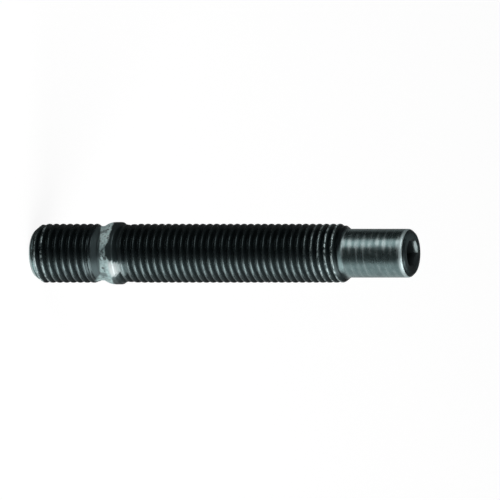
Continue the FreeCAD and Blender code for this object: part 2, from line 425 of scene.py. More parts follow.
# %% [markdown]
# A stud that has been in a box with others has small knocks. They sit where it touches other things, on the
# crests, and most are too small to count, so noise places them. Its seed is an input, and so is fixed. Two
# nicks are large enough to see one by one, and are pressed in where they are on the real stud.

# %% Knocks and nicks
NEAR_CREST = 0.35 * MM
# Each nick: its x, y and z, how far it reaches, and its depth, all in millimetres.
NICKS = [
    (5.98, -0.2, 50.4, 0.55, 0.30),
    (3.3, -5.0, 58.2, 0.45, 0.16),
]


def make_knock_tree():
    tree, given, result = new_group(
        "knocks",
        "GeometryNodeTree",
        {
            "Geometry": ("Geometry", None),
            "Crest Radius": ("Float", CREST),
            "Depth": ("Float", 0.05 * MM),
            "Spacing": ("Float", 1.6 * MM),
            "Seed": ("Float", 3.0),
        },
        {"Geometry": "Geometry"},
    )
    point = tree.nodes.new("GeometryNodeInputPosition").outputs[0]
    radius, _, height = round_place(tree, point)
    cloud = add_node(tree, "ShaderNodeTexNoise", noise_dimensions="4D")
    tree.links.new(point, cloud.inputs["Vector"])
    tree.links.new(given["Seed"], cloud.inputs["W"])
    tree.links.new(calc(tree, "DIVIDE", 1.0, given["Spacing"]), cloud.inputs["Scale"])
    cloud.inputs["Detail"].default_value = 3.0
    hit = fade(tree, cloud.outputs[0], 0.6, 0.78)
    crest = given["Crest Radius"]
    near_crest = fade(tree, radius, calc(tree, "SUBTRACT", crest, NEAR_CREST), crest)
    push = calc(tree, "MULTIPLY", hit, near_crest, given["Depth"])
    for x, y, z, reach, depth in NICKS:
        spot = add_node(tree, "ShaderNodeVectorMath", point, (x * MM, y * MM, z * MM), operation="DISTANCE")
        dent = fade(tree, spot.outputs["Value"], 0.0, reach * MM, depth * MM, 0.0)
        push = calc(tree, "ADD", push, dent)
    on_side = calc(tree, "GREATER_THAN", radius, PILOT * 0.98)
    wanted = calc(tree, "SUBTRACT", radius, push)
    tree.links.new(set_radius(tree, given["Geometry"], on_side, point, radius, wanted), result["Geometry"])
    return tree


add_tree(stud, make_knock_tree(), Crest_Radius=CREST, Depth=0.05 * MM, Spacing=1.6 * MM, Seed=3.0)
print("nicks:", len(NICKS), "deepest in mm:", max(nick[-1] for nick in NICKS))

# %% [markdown]
# The stud was blackened all over, and then the collar's seat and the pilot lost the black again, so each zone
# has a finish of its own. One material could hold them all, but it would be hard to read and to change. The
# last tree gives each zone's faces their material by where they lie. The collar's and the pilot's zones reach
# past their bare steel, and the black goes on in them, so its ragged edge never follows the edges of faces.

# %% Zones of the finish
FINISHES = ("black_oxide", "collar_steel", "pilot_steel", "blackened_end", "socket_wall")
materials = {name: bpy.data.materials.new(name) for name in FINISHES}
ZONES = [
    ("collar_steel", COLLAR_LOW - 2.6 * MM, CROWN_HIGH + 1.4 * MM),
    ("pilot_steel", PILOT_LOW - 1.3 * MM, PILOT_CHAMFER_LOW + 0.12 * MM),
    ("blackened_end", PILOT_CHAMFER_LOW + 0.12 * MM, LENGTH + MM),
]


def make_zone_tree():
    tree, given, result = new_group(
        "zones", "GeometryNodeTree", {"Geometry": ("Geometry", None)}, {"Geometry": "Geometry"}
    )
    point = tree.nodes.new("GeometryNodeInputPosition").outputs[0]
    radius, _, height = round_place(tree, point)
    skin = add_node(tree, "GeometryNodeRealizeInstances", given["Geometry"]).outputs[0]
    skin = add_node(tree, "GeometryNodeSetMaterial", skin, True, materials["black_oxide"]).outputs[0]
    for name, low, high in ZONES:
        zone = between(tree, height, low, high)
        skin = add_node(tree, "GeometryNodeSetMaterial", skin, zone, materials[name]).outputs[0]
    inside = calc(tree, "LESS_THAN", radius, MOUTH)
    inside = calc(tree, "MULTIPLY", inside, calc(tree, "GREATER_THAN", height, PILOT_LOW))
    skin = add_node(tree, "GeometryNodeSetMaterial", skin, inside, materials["socket_wall"]).outputs[0]
    tree.links.new(skin, result["Geometry"])
    return tree


add_tree(stud, make_zone_tree())
print("zones in mm:", {name: (round(low / MM, 2), round(high / MM, 2)) for name, low, high in ZONES})


# %% Bake the trees into one plain mesh
def apply_trees(thing, name):
    """A plain object with the evaluated mesh of another, which is then removed."""
    evaluated = thing.evaluated_get(bpy.context.evaluated_depsgraph_get())
    mesh = bpy.data.meshes.new_from_object(evaluated)
    mesh.name = name
    plain = bpy.data.objects.new(name, mesh)
    bpy.context.scene.collection.objects.link(plain)
    old = thing.data
    bpy.data.objects.remove(thing)
    bpy.data.meshes.remove(old)
    return plain


stud = apply_trees(stud, "steel_stud")
stud.data.shade_smooth()
stud.data.set_sharp_from_angle(angle=math.radians(42))
print("materials:", [m.name for m in stud.data.materials])
print("triangles:", sum(len(p.vertices) - 2 for p in stud.data.polygons))

# %% [markdown]
# Four effects are shared by the finishes, so each is a group, built once: the place on the stud in
# millimetres, the grain left by turning, the wear of the edges that stand out, and the smudges of handling.
# All of them read Object coordinates, so they stay on the stud from whichever side it is seen.


# %% Shared groups: place on the stud
def make_place_group():
    tree, _, result = new_group(
        "place_on_stud",
        "ShaderNodeTree",
        {},
        {"Point": "Vector", "Radius": "Float", "Turn": "Float", "Height": "Float", "Climb": "Float"},
    )
    coordinates = tree.nodes.new("ShaderNodeTexCoord").outputs["Object"]
    scale = (1 / MM, 1 / MM, 1 / MM)
    point = add_node(tree, "ShaderNodeVectorMath", coordinates, scale, operation="MULTIPLY").outputs[0]
    radius, turned, height = round_place(tree, point)
    climb = calc(tree, "SUBTRACT", calc(tree, "DIVIDE", height, PITCH / MM), turned)
    for label, value in zip(result.keys(), (point, radius, turned, height, climb)):
        tree.links.new(value, result[label])
    return tree


place_on_stud = make_place_group()


def use_group(tree, group, **values):
    """A group's node, with its inputs set by name, spaces for underscores."""
    node = tree.nodes.new("ShaderNodeGroup")
    node.node_tree = group
    for key, value in values.items():
        socket = node.inputs[key.replace("_", " ")]
        if isinstance(value, bpy.types.NodeSocket):
            tree.links.new(value, socket)
        else:
            socket.default_value = value
    return node.outputs


def noise(tree, vector, scale, detail=3.0, rough=0.55):
    """A Noise Texture's value."""
    node = tree.nodes.new("ShaderNodeTexNoise")
    feed(tree, node, vector, None, scale, detail, rough)
    return node.outputs[0]


# %% Shared groups: turning grain, edge wear and smudges
def make_grain_group():
    tree, given, result = new_group(
        "turning_grain",
        "ShaderNodeTree",
        {"Lines Per mm": ("Float", 12.0), "Line Length": ("Float", 2.0)},
        {"Value": "Float"},
    )
    place = use_group(tree, place_on_stud)
    angle = calc(tree, "MULTIPLY", place["Turn"], TURN)
    across = calc(tree, "DIVIDE", PILOT / MM, given["Line Length"])
    spin = add_node(
        tree,
        "ShaderNodeCombineXYZ",
        calc(tree, "MULTIPLY", calc(tree, "COSINE", angle), across),
        calc(tree, "MULTIPLY", calc(tree, "SINE", angle), across),
        calc(tree, "MULTIPLY", place["Height"], given["Lines Per mm"]),
    )
    tree.links.new(noise(tree, spin.outputs[0], 1.0, 2.0, 0.6), result["Value"])
    return tree


def make_wear_group():
    tree, given, result = new_group(
        "edge_wear",
        "ShaderNodeTree",
        {
            "Inner Radius": ("Float", 5.6),
            "Outer Radius": ("Float", 6.0),
            "Patch Size": ("Float", 2.0),
            "Amount": ("Float", 1.0),
        },
        {"Mask": "Float"},
    )
    place = use_group(tree, place_on_stud)
    edge = fade(tree, place["Radius"], given["Inner Radius"], given["Outer Radius"])
    patch = noise(tree, place["Point"], calc(tree, "DIVIDE", 1.0, given["Patch Size"]), 4.0, 0.65)
    patchy = fade(tree, patch, 0.25, 0.6)
    tree.links.new(calc(tree, "MULTIPLY", edge, patchy, given["Amount"]), result["Mask"])
    return tree


def make_smudge_group():
    tree, given, result = new_group(
        "smudges",
        "ShaderNodeTree",
        {"Size": ("Float", 4.0), "From": ("Float", 0.45), "To": ("Float", 0.65)},
        {"Mask": "Float"},
    )
    place = use_group(tree, place_on_stud)
    cloud = noise(tree, place["Point"], calc(tree, "DIVIDE", 1.0, given["Size"]), 5.0, 0.6)
    tree.links.new(fade(tree, cloud, given["From"], given["To"]), result["Mask"])
    return tree


turning_grain = make_grain_group()
edge_wear = make_wear_group()
smudges = make_smudge_group()
print("shared groups:", [g.name for g in bpy.data.node_groups if g.bl_idname == "ShaderNodeTree"])


# %% Helpers for the materials
def empty_material(material):
    """Clears a material and gives its tree and the socket for its shader."""
    material.use_nodes = True
    tree = material.node_tree
    tree.nodes.clear()
    return tree, tree.nodes.new("ShaderNodeOutputMaterial").inputs["Surface"]


def start_material(material):
    """Clears a material and gives its tree and its Principled BSDF."""
    tree, surface = empty_material(material)
    shader = tree.nodes.new("ShaderNodeBsdfPrincipled")
    tree.links.new(shader.outputs[0], surface)
    return tree, shader


def blend_colour(tree, mask, first, second):
    """A colour between two, by a mask."""
    node = add_node(tree, "ShaderNodeMix", mask, data_type="RGBA")
    for socket, value in zip(node.inputs[6:8], (first, second)):
        if isinstance(value, bpy.types.NodeSocket):
            tree.links.new(value, socket)
        else:
            socket.default_value = (*value, 1.0)
    return node.outputs[2]


def blend_value(tree, mask, first, second):
    """A number between two, by a mask."""
    return add_node(tree, "ShaderNodeMapRange", mask, 0.0, 1.0, first, second).outputs[0]


def add_bump(tree, shader, height, distance):
    """A Bump node in front of the shader's normal. distance is in metres."""
    bump = tree.nodes.new("ShaderNodeBump")
    bump.inputs["Distance"].default_value = distance
    tree.links.new(height, bump.inputs["Height"])
    tree.links.new(bump.outputs[0], shader.inputs["Normal"])


def plug(tree, shader, **values):
    """Links values to the shader's inputs, spaces for underscores."""
    for key, value in values.items():
        tree.links.new(value, shader.inputs[key.replace("_", " ")])


def off_turn(tree, place, turn):
    """How far round the stud a point is from a line along it, as a share of a turn."""
    return calc(tree, "ABSOLUTE", calc(tree, "SUBTRACT", place["Turn"], turn))


def along(tree, place, start, end, low=0.0, high=1.0):
    """An eased change from low to high between two heights on the stud."""
    return fade(tree, place["Height"], start / MM, end / MM, low, high)


def past(tree, value, softness):
    """0 where a value is below zero and 1 where it is above, with an eased edge."""
    return fade(tree, value, calc(tree, "MULTIPLY", softness, -1.0), softness)


def make_finish(name, paint):
    """Builds one of the finishes and prints its size."""
    paint(materials[name])
    print(name, "has", len(materials[name].node_tree.nodes), "nodes")


# %% [markdown]
# Black oxide is a thin skin on the steel. It is nearly black with a cold green cast, and mirrors a little, so
# it shows its shape by soft lines of light. One colour and one shine would look like plastic, because the
# real skin has worn. It is thin on the side that has rubbed on other things. The crests there and next to the
# pilot show steel, and the first ones at both ends are scraped. That worn side is also where the crests catch
# the light, so its paler black and bright crests are partly a painted highlight. It is matt on the neck and
# the crown, which no roller has smoothed. One function makes the skin and its wear, as the finishes beside it
# have some too.

# %% Black oxide: colours, and places round the stud as shares of a turn from +X
BLACK = (0.017, 0.026, 0.028)
SMUDGED_BLACK = (0.022, 0.032, 0.034)
THIN_AND_LIT_BLACK = (0.075, 0.102, 0.106)
MATT_BLACK = (0.12, 0.166, 0.172)
CHAMFER_GREY_AND_LIGHT = (0.36, 0.46, 0.46)
WORN_STEEL_HIGHLIGHT = (0.36, 0.47, 0.475)
SCRAPED_STEEL = (0.62, 0.76, 0.765)

# The worn side, the chamfer's pale side and the rubbed patch lie where the light falls, so the colours placed
# there are partly painted highlight.
WORN_AND_LIT_SIDE = -0.132
CHAMFER_LIT_TURN = -0.13
RUB_HIGHLIGHT_TURN = -0.161
RUB_HIGHLIGHT_WIDTH = 0.047
RUB_SLANT = 0.005
RUB_MIDDLE = 18.0
RUB_FRAY = 0.06
RUB_END = 20.4 * MM


# %% Black oxide: where it has worn, and where highlights are painted
def rub_and_highlight_mask(tree, place):
    """1 on the side of the collar where rubbing has taken its blacking off, with frayed edges. That side
    faces the light, so the bright steel there is partly a painted highlight.
    """
    slant = calc(tree, "MULTIPLY", calc(tree, "SUBTRACT", place["Height"], RUB_MIDDLE), RUB_SLANT)
    off_rub = off_turn(tree, place, calc(tree, "ADD", slant, RUB_HIGHLIGHT_TURN))
    fray = calc(tree, "SUBTRACT", noise(tree, place["Point"], 1.8, 3.0, 0.6), 0.5)
    return fade(tree, calc(tree, "MULTIPLY_ADD", fray, RUB_FRAY, off_rub), RUB_HIGHLIGHT_WIDTH * 1.3, RUB_HIGHLIGHT_WIDTH * 0.5)


def rubbed_crown_and_highlight(tree, place):
    """The same worn patch and painted highlight, on the crown and the first turns of the long thread only."""
    from_seat = along(tree, place, CROWN_LOW - 1.1 * MM, CROWN_LOW - 0.1 * MM)
    to_thread = along(tree, place, RUB_END + 2 * MM, RUB_END)
    return calc(tree, "MULTIPLY", rub_and_highlight_mask(tree, place), from_seat, to_thread)


def worn_and_lit_crests(tree, place):
    """Steel that shows through on the crests, next to the pilot and on the worn side, where it is also a
    painted highlight.
    """
    worn = use_group(tree, edge_wear, Inner_Radius=5.52, Outer_Radius=5.96, Patch_Size=1.1, Amount=0.44)
    on_side = fade(tree, off_turn(tree, place, WORN_AND_LIT_SIDE), 0.11, 0.035, 0.05, 0.7)
    by_pilot = along(tree, place, 54 * MM, 66 * MM, 0.0, 0.5)
    return calc(tree, "MULTIPLY", worn["Mask"], calc(tree, "MAXIMUM", on_side, by_pilot))


def scraped_ends(tree, place):
    """The first crests at both ends, scraped bright in patches where a nut or a hub goes on."""
    at_ends = calc(
        tree,
        "MAXIMUM",
        along(tree, place, 59 * MM, 67 * MM, 0.0, 0.75),
        along(tree, place, HUB_CHAMFER_END + 3 * MM, HUB_CHAMFER_END),
    )
    patches = fade(tree, noise(tree, place["Point"], 1.3, 2.0, 0.5), 0.38, 0.60)
    return calc(tree, "MULTIPLY", at_ends, fade(tree, place["Radius"], 5.88, 5.97), patches)


def grey_and_lit_chamfer(tree, place):
    """The hub end's chamfer, which is grey, most of all on the worn side, which faces the lamp: there the
    grey is partly painted light.
    """
    chamfer = along(tree, place, HUB_CHAMFER_END + 0.3 * MM, HUB_CHAMFER_END - 0.1 * MM)
    edge = fade(tree, place["Radius"], 4.5, 4.8)
    # The chamfer's grey is paler on the side the lamp lights: painted light.
    on_side = fade(tree, off_turn(tree, place, CHAMFER_LIT_TURN), 0.19, 0.10, 0.3, 1.0)
    return calc(tree, "MULTIPLY", chamfer, edge, on_side)


def matt_bands(tree, place):
    """Where the black is matt: all of the neck, and a little on the crown."""
    from_neck = along(tree, place, NECK_LOW - 0.1 * MM, NECK_LOW + 0.3 * MM)
    to_seat = along(tree, place, COLLAR_LOW + 0.9 * MM, COLLAR_LOW + 1.5 * MM, 1.0, 0.0)
    from_seat = along(tree, place, CROWN_LOW - 0.4 * MM, CROWN_LOW + 0.3 * MM)
    to_thread = along(tree, place, COLLAR_HIGH + 0.2 * MM, COLLAR_HIGH - 0.6 * MM, 0.0, 0.35)
    neck, crown = calc(tree, "MULTIPLY", from_neck, to_seat), calc(tree, "MULTIPLY", from_seat, to_thread)
    return calc(tree, "MAXIMUM", neck, crown)


# %% Black oxide: the skin
def black_skin(tree):
    """Colour, roughness, metallic and fine relief of black oxide with its wear, and highlights painted on its
    lit side, for any material.
    """
    place = use_group(tree, place_on_stud)
    smudged = use_group(tree, smudges, Size=3.0, From=0.45, To=0.75)["Mask"]
    fine = noise(tree, place["Point"], 9.0, 3.0, 0.6)
    crown_rub_highlight = rubbed_crown_and_highlight(tree, place)
    # Worn crests and the crown's rubbed patch, both partly a painted highlight on the lit side.
    worn = calc(tree, "MAXIMUM", worn_and_lit_crests(tree, place), calc(tree, "MULTIPLY", crown_rub_highlight, 0.7))
    scraped = scraped_ends(tree, place)
    chamfer = grey_and_lit_chamfer(tree, place)
    matt = matt_bands(tree, place)
    # Paler black on the worn side, which is where the light falls: partly painted highlight.
    thin_and_lit = fade(tree, off_turn(tree, place, WORN_AND_LIT_SIDE), 0.14, 0.04)
    colour = blend_colour(tree, smudged, BLACK, SMUDGED_BLACK)
    wear = (
        (thin_and_lit, THIN_AND_LIT_BLACK),
        (matt, MATT_BLACK),
        (chamfer, CHAMFER_GREY_AND_LIGHT),
        (worn, WORN_STEEL_HIGHLIGHT),
        (scraped, SCRAPED_STEEL),
    )
    for mask, shade in wear:
        colour = blend_colour(tree, mask, colour, shade)
    rough = calc(tree, "ADD", blend_value(tree, smudged, 0.25, 0.31), blend_value(tree, fine, -0.05, 0.05))
    rough = calc(tree, "MULTIPLY_ADD", matt, 0.14, rough)
    metal = blend_value(tree, calc(tree, "MAXIMUM", worn, matt, chamfer), 0.75, 1.0)
    metal = calc(tree, "MULTIPLY_ADD", calc(tree, "MAXIMUM", scraped, crown_rub_highlight), -0.5, metal)
    metal = calc(tree, "MULTIPLY_ADD", matt, -0.15, metal)
    return colour, rough, metal, fine


def paint_black_oxide(material):
    tree, shader = start_material(material)
    colour, rough, metal, fine = black_skin(tree)
    plug(tree, shader, Base_Color=colour, Roughness=rough, Metallic=metal)
    add_bump(tree, shader, fine, 0.006 * MM)


make_finish("black_oxide", paint_black_oxide)

# %% [markdown]
# The collar's seat is bare steel where the press and the hub have rubbed it, and the black skin begins again
# on its crown. A painted band would need a picture. Here two edges say where it lies, and each is a height
# that changes round the stud. The low one drops onto the neck on the +X side and fades there. The top one
# dips under a tongue of black on the -Y side, and rises over the crown to the first turn of the thread where
# something has rubbed. A slow noise moves it, since no real edge is even. Dirt lies along the ridges between
# the flats, with stains between them and dark blotches on the -Y side. The rubbed patch is clean, and it is
# made near white where the light falls on it, which is a painted highlight. Pale patches on the side that
# faces -X are painted light.

# %% Bare steel of the collar: colours and places
SEAT_GREY = (0.36, 0.51, 0.515)
SEAT_PALE = (0.46, 0.63, 0.635)
SEAT_BRIGHT = (0.60, 0.79, 0.79)
SEAT_LIT_WHITE = (0.74, 0.93, 0.925)
POLISHED_STEEL_HIGHLIGHT = (0.82, 0.90, 0.90)
DIRT_AND_BLOTCH = (0.07, 0.09, 0.095)

BARE_FROM = 13.9
BARE_TO = 17.1
RUN_DOWN_TURN = 0.0
TONGUE_TURN = -0.268
BLOTCH_TURN = -0.243


# %% Bare steel of the collar: the band, its dirt and its dark blotches
def bare_band(tree, place, rub_and_highlight, wander):
    """1 where the collar is bare."""
    to_back = calc(tree, "SINE", calc(tree, "MULTIPLY", place["Turn"], TURN))
    run_down = fade(tree, off_turn(tree, place, RUN_DOWN_TURN), 0.13, 0.03)
    tongue = fade(tree, off_turn(tree, place, TONGUE_TURN), 0.065, 0.008)
    low = calc(tree, "MAXIMUM", calc(tree, "MULTIPLY_ADD", to_back, -1.97, BARE_FROM), BARE_FROM)
    low = calc(tree, "MULTIPLY_ADD", run_down, -1.1, low)
    top = calc(tree, "MULTIPLY_ADD", to_back, -0.9, BARE_TO)
    top = calc(tree, "MULTIPLY_ADD", rub_and_highlight, 1.9, top)
    top = calc(tree, "MULTIPLY_ADD", tongue, -0.85, top)
    above_low = calc(tree, "SUBTRACT", place["Height"], low)
    below_top = calc(tree, "MULTIPLY_ADD", wander, 1.1, calc(tree, "SUBTRACT", top, place["Height"]))
    soft_low = calc(tree, "MULTIPLY_ADD", run_down, 0.5, 0.12)
    soft_top = calc(tree, "MULTIPLY_ADD", rub_and_highlight, 0.5, 0.2)
    return calc(tree, "MULTIPLY", past(tree, above_low, soft_low), past(tree, below_top, soft_top))


def seat_dirt_and_blotches(tree, place, wander):
    """Dirt along the ridges between the flats, stains, and dark blotches on the side that faces -Y."""
    in_eighth = calc(tree, "FRACT", calc(tree, "MULTIPLY_ADD", place["Turn"], FLATS, 0.5))
    off_ridge = calc(tree, "ABSOLUTE", calc(tree, "SUBTRACT", in_eighth, 0.5))
    ridge = fade(tree, calc(tree, "MULTIPLY_ADD", wander, 0.3, off_ridge), 0.17, 0.04)
    ridge = calc(tree, "MULTIPLY", ridge, along(tree, place, CROWN_LOW, CROWN_LOW - 0.5 * MM), 0.6)
    stain = use_group(tree, smudges, Size=0.9, From=0.53, To=0.70)["Mask"]
    blotches = fade(tree, noise(tree, place["Point"], 1.6, 2.0, 0.5), 0.44, 0.54, 0.15, 1.0)
    front_blotches = fade(tree, off_turn(tree, place, BLOTCH_TURN), 0.050, 0.020, 0.0, 0.9)
    return calc(tree, "MAXIMUM", ridge, stain, calc(tree, "MULTIPLY", front_blotches, blotches))


def pale_lit_side(tree, place):
    """Patches of painted light on the side that faces -X, where the seat is made nearly white."""
    to_x = calc(tree, "COSINE", calc(tree, "MULTIPLY", place["Turn"], TURN))
    patches = fade(tree, noise(tree, place["Point"], 1.1, 2.0, 0.5), 0.40, 0.58, 0.45, 1.0)
    return calc(tree, "MULTIPLY", fade(tree, to_x, -0.1, -0.5), patches)


# %% Bare steel of the collar: the finish
def paint_collar(material):
    tree, shader = start_material(material)
    place = use_group(tree, place_on_stud)
    black, black_rough, black_metal, fine = black_skin(tree)
    wander = calc(tree, "SUBTRACT", noise(tree, place["Point"], 0.7, 3.0, 0.6), 0.5)
    rub_and_highlight = rub_and_highlight_mask(tree, place)
    bare = bare_band(tree, place, rub_and_highlight, wander)
    bright = use_group(tree, smudges, Size=1.6, From=0.42, To=0.58)["Mask"]
    # The rubbed patch on the crown is made near white where the light falls: worn steel and a painted
    # highlight.
    polished_highlight = calc(tree, "MULTIPLY", rub_and_highlight, along(tree, place, CROWN_LOW + 0.1 * MM, CROWN_LOW + 0.9 * MM))
    dirt_and_blotches = calc(tree, "MULTIPLY", seat_dirt_and_blotches(tree, place, wander), calc(tree, "SUBTRACT", 1.0, polished_highlight))
    steel = blend_colour(tree, fine, SEAT_GREY, SEAT_PALE)
    steel = blend_colour(tree, bright, steel, SEAT_BRIGHT)
    # Pale patches on the -X side are painted light.
    steel = blend_colour(tree, pale_lit_side(tree, place), steel, SEAT_LIT_WHITE)
    steel = blend_colour(tree, polished_highlight, steel, POLISHED_STEEL_HIGHLIGHT)
    steel = blend_colour(tree, dirt_and_blotches, steel, DIRT_AND_BLOTCH)
    plug(
        tree,
        shader,
        Base_Color=blend_colour(tree, bare, black, steel),
        Roughness=blend_value(tree, bare, black_rough, blend_value(tree, polished_highlight, 0.50, 0.48)),
        Metallic=blend_value(tree, bare, black_metal, blend_value(tree, polished_highlight, 0.45, 0.55)),
    )
    add_bump(tree, shader, fine, 0.012 * MM)


make_finish("collar_steel", paint_collar)

# %% [markdown]
# The pilot was turned down after the thread was rolled, and the tool left the ghost of the thread on it: low
# waves that climb with the old pitch, deeper on one side because the bar ran a little off centre. They are
# far too shallow to model, so they are a bump and a paler line along each wave's top, over the fine rings of
# the turning tool. That deep side lies in the bright band of reflected light, and the wave tops there are
# made pale, which is a painted highlight. The rim is burnished by the nuts put on. The corner at the shoulder
# is dull, and the black skin ends there in a ragged edge, which lies lower on the side where it was wiped.

# %% Turned steel of the pilot: colours and places
TURNED_DARK = (0.13, 0.20, 0.205)
TURNED_PALE = (0.31, 0.43, 0.435)
STAINED_STEEL = (0.14, 0.205, 0.21)
WAVE_TOP_HIGHLIGHT = (0.60, 0.73, 0.735)
GHOST_LINE = (0.50, 0.62, 0.625)
CORNER_GREY = (0.13, 0.16, 0.162)
RIM_STEEL = (0.60, 0.72, 0.73)

GHOST_HIGHLIGHT_TURN = -0.312
WIPED_TURN = -0.20


# %% Turned steel of the pilot: what the tools left
def thread_ghost(tree, place, broken):
    """The waves left of the thread, strongest on the side in the bright band, where their pale tops are a
    painted highlight, and the fine line along each wave's top. Neither is whole.
    """
    around = calc(tree, "MULTIPLY", place["Climb"], TURN)
    top = calc(tree, "MULTIPLY_ADD", calc(tree, "COSINE", around), 0.5, 0.5)
    deep_and_lit = fade(tree, off_turn(tree, place, GHOST_HIGHLIGHT_TURN), 0.10, 0.02, 0.15, 1.0)
    wave = calc(tree, "MULTIPLY", top, deep_and_lit, fade(tree, broken, 0.3, 0.6, 0.2, 1.0))
    line = calc(tree, "MULTIPLY", fade(tree, top, 0.9, 1.0), fade(tree, broken, 0.35, 0.65))
    return wave, line


def ground_mask(tree, place, broken, off_wiped):
    """0 on the black skin of the shoulder and 1 on the pilot, with a ragged edge between them."""
    wiped = fade(tree, off_wiped, 0.13, 0.03, 0.0, 0.55)
    ragged = calc(tree, "MULTIPLY", calc(tree, "SUBTRACT", broken, 0.5), 0.8)
    edge = calc(tree, "ADD", place["Height"], wiped, ragged)
    return fade(tree, edge, PILOT_LOW / MM - 0.5, PILOT_LOW / MM + 0.5)


# %% Turned steel of the pilot: the finish
def paint_pilot(material):
    tree, shader = start_material(material)
    place = use_group(tree, place_on_stud)
    rings = use_group(tree, turning_grain, Lines_Per_mm=9.0, Line_Length=3.0)["Value"]
    stain = use_group(tree, smudges, Size=2.2, From=0.45, To=0.75)["Mask"]
    broken = noise(tree, place["Point"], 0.5, 2.0, 0.5)
    wave, line = thread_ghost(tree, place, broken)
    off_wiped = off_turn(tree, place, WIPED_TURN)
    corner = along(tree, place, PILOT_LOW + 0.9 * MM, PILOT_LOW - 0.2 * MM, 0.0, 0.55)
    corner = calc(tree, "MULTIPLY", corner, fade(tree, off_wiped, 0.04, 0.13, 0.5, 1.0))
    rim = along(tree, place, PILOT_CHAMFER_LOW - 0.75 * MM, PILOT_CHAMFER_LOW - 0.35 * MM)
    steel = blend_colour(tree, rings, TURNED_DARK, TURNED_PALE)
    steel = blend_colour(tree, stain, steel, STAINED_STEEL)
    # The pale wave tops are a painted highlight where the bright band falls.
    steel = blend_colour(tree, calc(tree, "MULTIPLY", wave, 0.9), steel, WAVE_TOP_HIGHLIGHT)
    steel = blend_colour(tree, calc(tree, "MULTIPLY", line, 0.22), steel, GHOST_LINE)
    steel = blend_colour(tree, corner, steel, CORNER_GREY)
    steel = blend_colour(tree, rim, steel, RIM_STEEL)
    rough = calc(tree, "ADD", blend_value(tree, rings, 0.22, 0.32), blend_value(tree, stain, 0.0, 0.06))
    rough = calc(tree, "MULTIPLY_ADD", line, 0.12, rough)
    dull = calc(tree, "MAXIMUM", rim, along(tree, place, PILOT_LOW + 0.35 * MM, PILOT_LOW - 0.1 * MM))
    ground = ground_mask(tree, place, broken, off_wiped)
    black, black_rough, black_metal, _ = black_skin(tree)
    plug(
        tree,
        shader,
        Base_Color=blend_colour(tree, ground, black, steel),
        Roughness=blend_value(tree, ground, black_rough, blend_value(tree, dull, rough, 0.52)),
        Metallic=blend_value(tree, ground, black_metal, 1.0),
    )
    uneven = noise(tree, place["Point"], 1.6, 2.0, 0.5)
    relief = calc(tree, "ADD", calc(tree, "MULTIPLY", rings, 0.2), calc(tree, "MULTIPLY", wave, 0.3), uneven)
    add_bump(tree, shader, relief, 0.015 * MM)


make_finish("pilot_steel", paint_pilot)

# %% [markdown]
# The end face and its chamfer kept their black when the pilot was turned. They could share the threads'
# black, but keys and fingers have thinned theirs in patches, so two blacks are mixed by a smudge. They are
# duller than the threads too, as they were cut and not rolled.

# %% Blackened end face
END_BLACK = (0.021, 0.032, 0.034)
END_WORN = (0.070, 0.105, 0.110)


def paint_end(material):
    tree, shader = start_material(material)
    place = use_group(tree, place_on_stud)
    patch = use_group(tree, smudges, Size=2.6, From=0.42, To=0.62)["Mask"]
    fine = noise(tree, place["Point"], 7.0, 3.0, 0.6)
    colour = blend_colour(tree, patch, END_BLACK, END_WORN)
    plug(tree, shader, Base_Color=colour, Roughness=blend_value(tree, fine, 0.33, 0.43))
    shader.inputs["Metallic"].default_value = 0.6
    add_bump(tree, shader, fine, 0.01 * MM)


make_finish("blackened_end", paint_end)

# %% [markdown]
# Inside the socket the blacking is still whole, and no light gets far down. Keys have rubbed it off on one
# side just under the mouth, and that wall faces the big lamp, so a bright patch stands there against the
# black. A small lamp could make it, but only for one view. So it is worn steel and a painted highlight,
# placed by its turn and its depth, and fading with depth as the light does.

# %% Black socket with a rubbed wall and a painted highlight on it
SOCKET_BLACK = (0.020, 0.028, 0.030)
KEYED_STEEL_HIGHLIGHT = (0.44, 0.54, 0.545)
LIT_KEY_TURN = 0.335
KEY_WIDTH = 0.085
KEY_DEPTH = 0.45


def paint_socket(material):
    tree, shader = start_material(material)
    place = use_group(tree, place_on_stud)
    fine = noise(tree, place["Point"], 7.0, 3.0, 0.6)
    down = calc(tree, "SUBTRACT", LENGTH / MM, place["Height"])
    # The bright patch on the lit wall, fading with depth: worn steel and a painted highlight.
    rub_and_highlight = calc(
        tree,
        "MULTIPLY",
        fade(tree, off_turn(tree, place, LIT_KEY_TURN), KEY_WIDTH, KEY_WIDTH * 0.8),
        fade(tree, calc(tree, "ADD", down, fine), KEY_DEPTH + 0.9, KEY_DEPTH + 0.3),
    )
    colour = blend_colour(tree, rub_and_highlight, SOCKET_BLACK, KEYED_STEEL_HIGHLIGHT)
    plug(
        tree,
        shader,
        Base_Color=colour,
        Roughness=blend_value(tree, fine, 0.38, 0.50),
        Metallic=blend_value(tree, rub_and_highlight, 0.2, 0.5),
    )
    add_bump(tree, shader, fine, 0.01 * MM)


make_finish("socket_wall", paint_socket)

# %% [markdown]
# The stage is a pale floor that goes on out of sight. Its own light, for what the camera and the mirrors of
# the steel see, lifts it to white, and the rest of it takes the stud's shadow. Rings of dark and light card
# lie round the stud as in a photographer's studio. Only reflections see them. They draw the dark and light
# bands on the steel, which would look flat if it mirrored nothing but white paper. The smallest ring lights
# the hub end's first turns, the next one most other turns and the collar, and the widest one the last turns
# and the pilot.

# %% Floor and rings of card
def stage_sheet(name, points, faces):
    """A flat sheet of the stage, which isn't part of the stud."""
    mesh = bpy.data.meshes.new(name)
    mesh.from_pydata(points, [], faces)
    thing = bpy.data.objects.new(name, mesh)
    bpy.context.scene.collection.objects.link(thing)
    return thing


